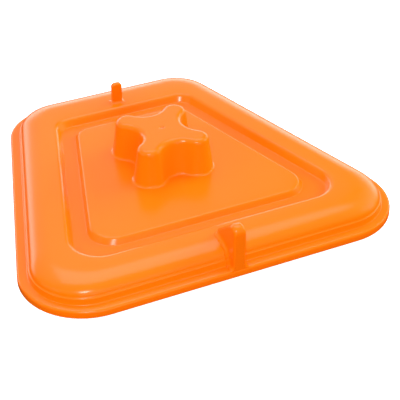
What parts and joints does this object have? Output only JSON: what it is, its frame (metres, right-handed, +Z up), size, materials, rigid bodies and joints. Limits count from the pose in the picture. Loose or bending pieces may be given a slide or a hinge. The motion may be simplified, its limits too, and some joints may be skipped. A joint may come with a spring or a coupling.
{
  "type": "insect trap",
  "caption": "Low moulded insect trap: a lift-off trapezoid cover with a lobed lure boss and upright fins over a tray with a sticky liner and an entry funnel.",
  "frame": {"origin": "middle of the outline on the plane the tray rests on", "axes": "+X to the right along the long front side, +Y from the long front side to the short back side, +Z up out of the boss"},
  "size_m": [0.2152, 0.197, 0.036],
  "materials": {
    "orange_plastic": "satin moulded plastic",
    "white_plastic": "plain moulded plastic",
    "grey_rubber": "matt rubber",
    "white_card": "smooth coated card",
    "glue": "wet-looking clear glue"
  },
  "bodies": {
    "base": {"base_tray": "orange_plastic", "entry_funnel": "white_plastic", "excluder_grid": "white_plastic", "sticky_liner": "white_card", "glue_coat": "glue"},
    "cover": {"cover": "orange_plastic", "lure_cage": "white_plastic", "septum": "grey_rubber"},
    "cap": {"lure_cap": "white_plastic"}
  },
  "joints": [
    {"name": "cover_lift", "type": "slide", "parent": "base", "child": "cover", "axis": [0, 0, 1], "range_m": [0, 0.09]},
    {"name": "lure_cap_turn", "type": "hinge", "parent": "cover", "child": "cap", "pos_m": [0, 0.0012, 0.0158], "axis": [0, 0, 1], "range_deg": [0, 45]}
  ]
}
